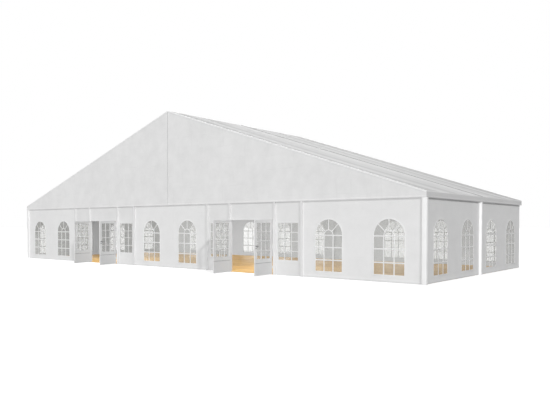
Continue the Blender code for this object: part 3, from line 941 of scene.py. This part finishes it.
def glazing(bm, u0, u1, z0, z1, columns, levels, place, thick, wide):
    """Beads round a pane and bars across it, on one face."""
    bead = eased(0.020, thick + 0.003)
    for u in (u0 + 0.010, u1 - 0.010):
        bar(bm, (u, z0), (u, z1), bead, place)
    for z in (z0 + 0.010, z1 - 0.010):
        bar(bm, (u0, z), (u1, z), [(s, out * 0.97) for s, out in bead], place)
    for i in range(1, columns):
        u = u0 + (u1 - u0) * i / columns
        bar(bm, (u, z0), (u, z1), eased(wide, thick), place)
    for z in levels:
        bar(bm, (u0, z), (u1, z), eased(wide, thick * 0.95), place)


def board_with_hole(bm, u0, u1, z0, z1, hole, place, front, back, mat=0):
    """A flat panel with a rectangular hole, or none, whose edges are eased."""
    ease = 0.003
    outer = [rectangle(u0, u1, z0, z1), rectangle(u0 + ease, u1 - ease, z0 + ease, z1 - ease)]
    if not hole:
        rings = [(outer[0], back), (outer[0], front - ease), (outer[1], front)]
        loft(bm, [[place(u, z, out) for u, z in loop] for loop, out in rings], mat)
        return
    inner = rectangle(*hole)
    rings = [(outer[0], back), (outer[0], front - ease), (outer[1], front), (inner, front), (inner, back)]
    loft(bm, [[place(u, z, out) for u, z in loop] for loop, out in rings], mat, loop=True)


def make_side_panel(entrance, side, sign, centre):
    """Door post with its hinge halves, and the glazed panel beside it."""
    name = f"{entrance}_{side}_panel"

    def place(u, z, out):
        return Vector((u, -HALF_DEPTH + PANEL_FACE - out, z))

    def inner_place(u, z, out):
        return Vector((u, -HALF_DEPTH + PANEL_FACE + PANEL_THICK + out, z))

    bm = bmesh.new()
    slots = [(0, -0.034, 0.004, 0.003), (0, 0.034, 0.004, 0.003), (2, 0.0, 0.012, 0.008)]
    x = centre + sign * (DOORWAY_HALF + 0.05)
    post = [[], [], [], []]
    for a, b in extrusion(0.0996, FRAME_DEPTH, 0.006, slots):
        y = -FRAME_LINE + b
        behind = max(y, -HALF_DEPTH + FABRIC_GAP + 0.0002)
        path = [(y, 0.0), (y, STEP_Z), (behind, STEP_Z + 0.0002), (behind, WALL_TOP)]
        for ring, (py, z) in zip(post, path):
            ring.append((x + a, py, z))
    loft(bm, post, 1)
    u0, u1 = sorted((centre + sign * (DOORWAY_HALF + 0.1), centre + sign * PANEL_END))
    low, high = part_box(f"{entrance}_{side}_glass")
    left, right, foot, head = low.x - 0.0003, high.x + 0.0003, low.z - 0.0003, high.z + 0.0003
    hole = (left, right, foot, head)
    board_with_hole(bm, u0, u1, 0.0, WALL_TOP, hole, place, 0.0, -PANEL_THICK)
    ledge = eased(0.026, 0.008)
    rim = eased(0.045, 0.004)
    low_rim = [(s, out * 0.95) for s, out in rim]
    for where in (place, inner_place):
        def face(u, z, out, where=where):
            return where(u, z, out - 0.0169)

        glazing(bm, left, right, foot, head, 3, (0.931, 1.308, 1.644), face, 0.0165, 0.024)
        bar(bm, (left - 0.045, foot - 0.072), (right + 0.045, foot - 0.072), ledge, where)
        for u in (left - 0.0225, right + 0.0225):
            bar(bm, (u, foot - 0.045), (u, head + 0.045), rim, where)
        for z in (foot - 0.0225, head + 0.0225):
            bar(bm, (left - 0.045, z), (right + 0.045, z), low_rim, where)
    pin_x = centre + sign * (DOORWAY_HALF - LEAF_STARTS[0])
    for z in HINGE_LEVELS:
        hinge_half(bm, pin_x, -HALF_DEPTH - PIN_OUT, sign, z, 1)
    finish(f"{name}_unit", bm, [PANEL, POST], slot="white_panel", stands_for=[name])


def make_head(entrance, centre):
    """Plain panel over a doorway."""

    def place(u, z, out):
        return Vector((u, -HALF_DEPTH + PANEL_FACE - out, z))

    half = DOORWAY_HALF - 0.0006
    bm = bmesh.new()
    board_with_hole(bm, centre - half, centre + half, HEAD_Z, WALL_TOP, None, place, 0.0, -PANEL_THICK)
    bar(bm, (centre - half, HEAD_Z + 0.024), (centre + half, HEAD_Z + 0.024), eased(0.044, 0.006), place)
    finish(f"{entrance}_head_panel", bm, [PANEL], slot="white_panel", stands_for=[f"{entrance}_head"])


def make_leaf(entrance, side, sign, centre):
    """A glazed door leaf, made shut in its hinge's own frame and turned open at the end."""
    toward = -sign
    body = f"{entrance}_{side}_leaf"
    pin = Vector((centre + sign * (DOORWAY_HALF - LEAF_STARTS[0]), -HALF_DEPTH - PIN_OUT, 0.0))
    angle = sign * math.radians(OPEN_ANGLES[(entrance, side)])
    turn = Matrix.Translation(pin) @ Matrix.Rotation(angle, 4, "Z")
    u0, u1 = sorted(toward * s for s in LEAF_STARTS)
    z0, z1, sill, head = 0.025, 2.12, 0.63, 2.03

    def outer(u, z, out):
        return turn @ Vector((u, LEAF_OUTER - out, z))

    def inner(u, z, out):
        return turn @ Vector((u, LEAF_INNER + out, z))

    bm = bmesh.new()
    hole = (u0 + 0.10, u1 - 0.10, sill, head)
    thick = LEAF_INNER - LEAF_OUTER
    board_with_hole(bm, u0, u1, 0.492, z1, hole, outer, 0.0, -thick)
    board_with_hole(bm, u0, u1, z0, 0.484, None, outer, -0.002, -thick + 0.002)

    def between(u, z, out):
        return outer(u, z, out - thick + 0.008)

    bar(bm, (u0 + 0.004, 0.488), (u1 - 0.004, 0.488), eased(0.012, thick - 0.016), between, 1)
    for where in (outer, inner):
        def face(u, z, out, where=where):
            return where(u, z, out - 0.0188)

        glazing(bm, hole[0], hole[1], sill, head, 3, (0.95, 1.32, 1.68), face, 0.0185, 0.030)
        bar(bm, (u0 + 0.06, 0.507), (u1 - 0.06, 0.507), eased(0.014, 0.009, 0.003), where)
        # Painted shadow: a thin dark strip just under the ledge
        bar(bm, (u0 + 0.06, 0.4965), (u1 - 0.06, 0.4965), eased(0.0065, 0.0008, 0.0003), where, 1)
    for z in HINGE_LEVELS:
        half = bmesh.new()
        hinge_half(half, 0.0, 0.0, toward, z + 0.0503)
        half.transform(turn)
        mesh = bpy.data.meshes.new("hinge")
        half.to_mesh(mesh)
        half.free()
        bm.from_mesh(mesh)
        bpy.data.meshes.remove(mesh)
    finish(f"{body}_frame", bm, [PANEL, SEAL_AND_SHADE], body, "white_panel", [f"{entrance}_{side}_door"])

    bm = bmesh.new()
    left, right = hole[0] - 0.004, hole[1] + 0.004
    board_with_hole(bm, left, right, sill - 0.004, head + 0.004, None, outer, -0.0195, -0.0255)
    finish(f"{body}_glass", bm, [GLASS], body, "window_glass", [f"{entrance}_{side}_door"])

    if side == "right":
        free = toward * (LEAF_STARTS[1] - 0.05)
        neck = free - toward * 0.010
        tip = free - toward * 0.126
        for where, name in ((outer, "outside"), (inner, "inside")):
            bm = bmesh.new()
            path = [(neck, 0.0008), (neck, 0.034)]
            for degrees in (15, 30, 45, 60, 75, 90):
                angle = math.radians(degrees)
                back = 0.016 * (1 - math.cos(angle))
                path.append((neck - toward * back, 0.034 + 0.016 * math.sin(angle)))
            path += [(neck - toward * 0.06, 0.0505), (tip + toward * 0.012, 0.0495), (tip, 0.0480)]
            points = [where(u, LEVER_Z, out) for u, out in path]
            radii = [0.0095] * (len(points) - 3) + [0.0100, 0.0105, 0.0065]
            round_bar(bm, points, radii, 16)
            rose = [(0.0004, 0.025), (0.005, 0.025), (0.0075, 0.0225), (0.0078, 0.012)]
            round_bar(bm, [where(neck, LEVER_Z, out) for out, _ in rose], [r for _, r in rose], 28)
            key = [(0.0004, 0.025), (0.005, 0.025), (0.0075, 0.0225), (0.0078, 0.008)]
            round_bar(bm, [where(neck, KEYHOLE_Z, out) for out, _ in key], [r for _, r in key], 28)
            node = f"{entrance}_lever_{name}"
            finish(f"{node}_handle", bm, [LEVER], body, "lever_dark", [node])


def make_entrances():
    for entrance, centre in ENTRANCES.items():
        for side, sign in (("left", -1), ("right", 1)):
            make_side_panel(entrance, side, sign, centre)
            make_leaf(entrance, side, sign, centre)
        make_head(entrance, centre)


# CAD pieces that stay, with their finish
def dress_solids():
    kept = {"ridge_purlin": METAL, "left_eave_purlin": METAL, "right_eave_purlin": METAL}
    for entrance in ENTRANCES:
        for side in ("left", "right"):
            kept[f"{entrance}_{side}_glass"] = GLASS
    for node, mat in kept.items():
        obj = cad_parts[node]
        obj.data.materials.clear()
        obj.data.materials.append(mat)


# Studio
def sun(name, toward, strength, degrees, shadows=True):
    data = bpy.data.lights.new(name, "SUN")
    data.energy = strength * math.pi
    data.angle = math.radians(degrees)
    data.use_shadow = shadows
    lamp = bpy.data.objects.new(name, data)
    scene.collection.objects.link(lamp)
    lamp.rotation_euler = Vector(toward).to_track_quat("Z", "Y").to_euler()


def panel_light(name, size, place, toward, energy):
    """A soft panel that only lights what is in front of it and doesn't show itself."""
    data = bpy.data.lights.new(name, "AREA")
    data.shape = "RECTANGLE"
    data.size, data.size_y = size
    data.energy = energy
    lamp = bpy.data.objects.new(name, data)
    lamp.location = place
    lamp.rotation_euler = Vector(toward).to_track_quat("-Z", "Y").to_euler()
    lamp.visible_camera = False
    lamp.visible_glossy = False
    scene.collection.objects.link(lamp)


def make_studio():
    sun("key_light", (1.8, -1.0, 1.1), 0.448, 2.0)
    sun("front_fill", (0.26, -0.86, 0.44), 0.20, 50.0)
    sun("front_wash", (0.26, -0.86, 0.44), 0.53, 50.0, shadows=False)
    sun("rear_fill", (-0.7, 0.7, 0.55), 0.60, 50.0)
    panel_light("hall_light", (22.0, 8.0), (0.0, 0.0, 2.75), (0.0, 0.0, -1.0), 220.0)
    for entrance, centre in ENTRANCES.items():
        place = (centre - 0.6, -2.9, 2.6)
        panel_light(f"{entrance}_light", (2.8, 2.8), place, (0.0, 0.0, -1.0), 78.0)

    world = bpy.data.worlds.new("studio")
    world.use_nodes = True
    scene.world = world
    tree = world.node_tree
    tree.nodes.clear()
    out = tree.nodes.new("ShaderNodeOutputWorld")
    mix = tree.nodes.new("ShaderNodeMixShader")
    rays = tree.nodes.new("ShaderNodeLightPath")
    ambient = tree.nodes.new("ShaderNodeBackground")
    ambient.inputs[0].default_value = (1.0, 1.0, 1.0, 1.0)
    ambient.inputs[1].default_value = 0.20
    backdrop = tree.nodes.new("ShaderNodeBackground")
    backdrop.inputs[0].default_value = (1.0, 1.0, 1.0, 1.0)
    backdrop.inputs[1].default_value = 1.0
    tree.links.new(rays.outputs["Is Camera Ray"], mix.inputs[0])
    tree.links.new(ambient.outputs[0], mix.inputs[1])
    tree.links.new(backdrop.outputs[0], mix.inputs[2])
    tree.links.new(mix.outputs[0], out.inputs[0])

    constants = {"Roughness": 0.9, "Specular IOR Level": 0.1, "Emission Strength": 0.32}
    floor_mat = new_material("pale_floor", constants)
    t = Tree(floor_mat)
    patches = t.cloud(t.place, 0.05, 3.0)
    t.shader.inputs["Emission Color"].default_value = (1.0, 1.0, 1.0, 1.0)
    t.give(Base_Color=t.ramp(patches, [(0.3, grey(0.86)), (0.7, grey(0.88))]))
    bm = bmesh.new()
    bmesh.ops.create_grid(bm, x_segments=8, y_segments=8, size=300.0)
    mesh = bpy.data.meshes.new("studio_floor")
    bm.to_mesh(mesh)
    bm.free()
    mesh.materials.append(floor_mat)
    floor = bpy.data.objects.new("studio_floor", mesh)
    floor.location.z = -0.002
    floor.visible_diffuse = False
    floor.visible_glossy = False
    scene.collection.objects.link(floor)
    scene.view_settings.view_transform = "Standard"
    scene.view_settings.look = "None"


def make_camera():
    data = bpy.data.cameras.new("camera")
    data.lens = 38.447
    data.sensor_width = 36.0
    data.shift_y = 0.0583
    data.clip_end = 1000.0
    camera = bpy.data.objects.new("camera", data)
    camera.location = (20.5668, -22.6644, 1.9279)
    camera.rotation_euler = (math.radians(90.0 - 1.3103), 0.0, math.radians(39.0137))
    scene.collection.objects.link(camera)
    scene.camera = camera


make_camera()
make_floor()
make_frames()
make_posts()
make_walls()
make_gables()
make_roof()
make_rails()
make_entrances()
dress_solids()
make_studio()
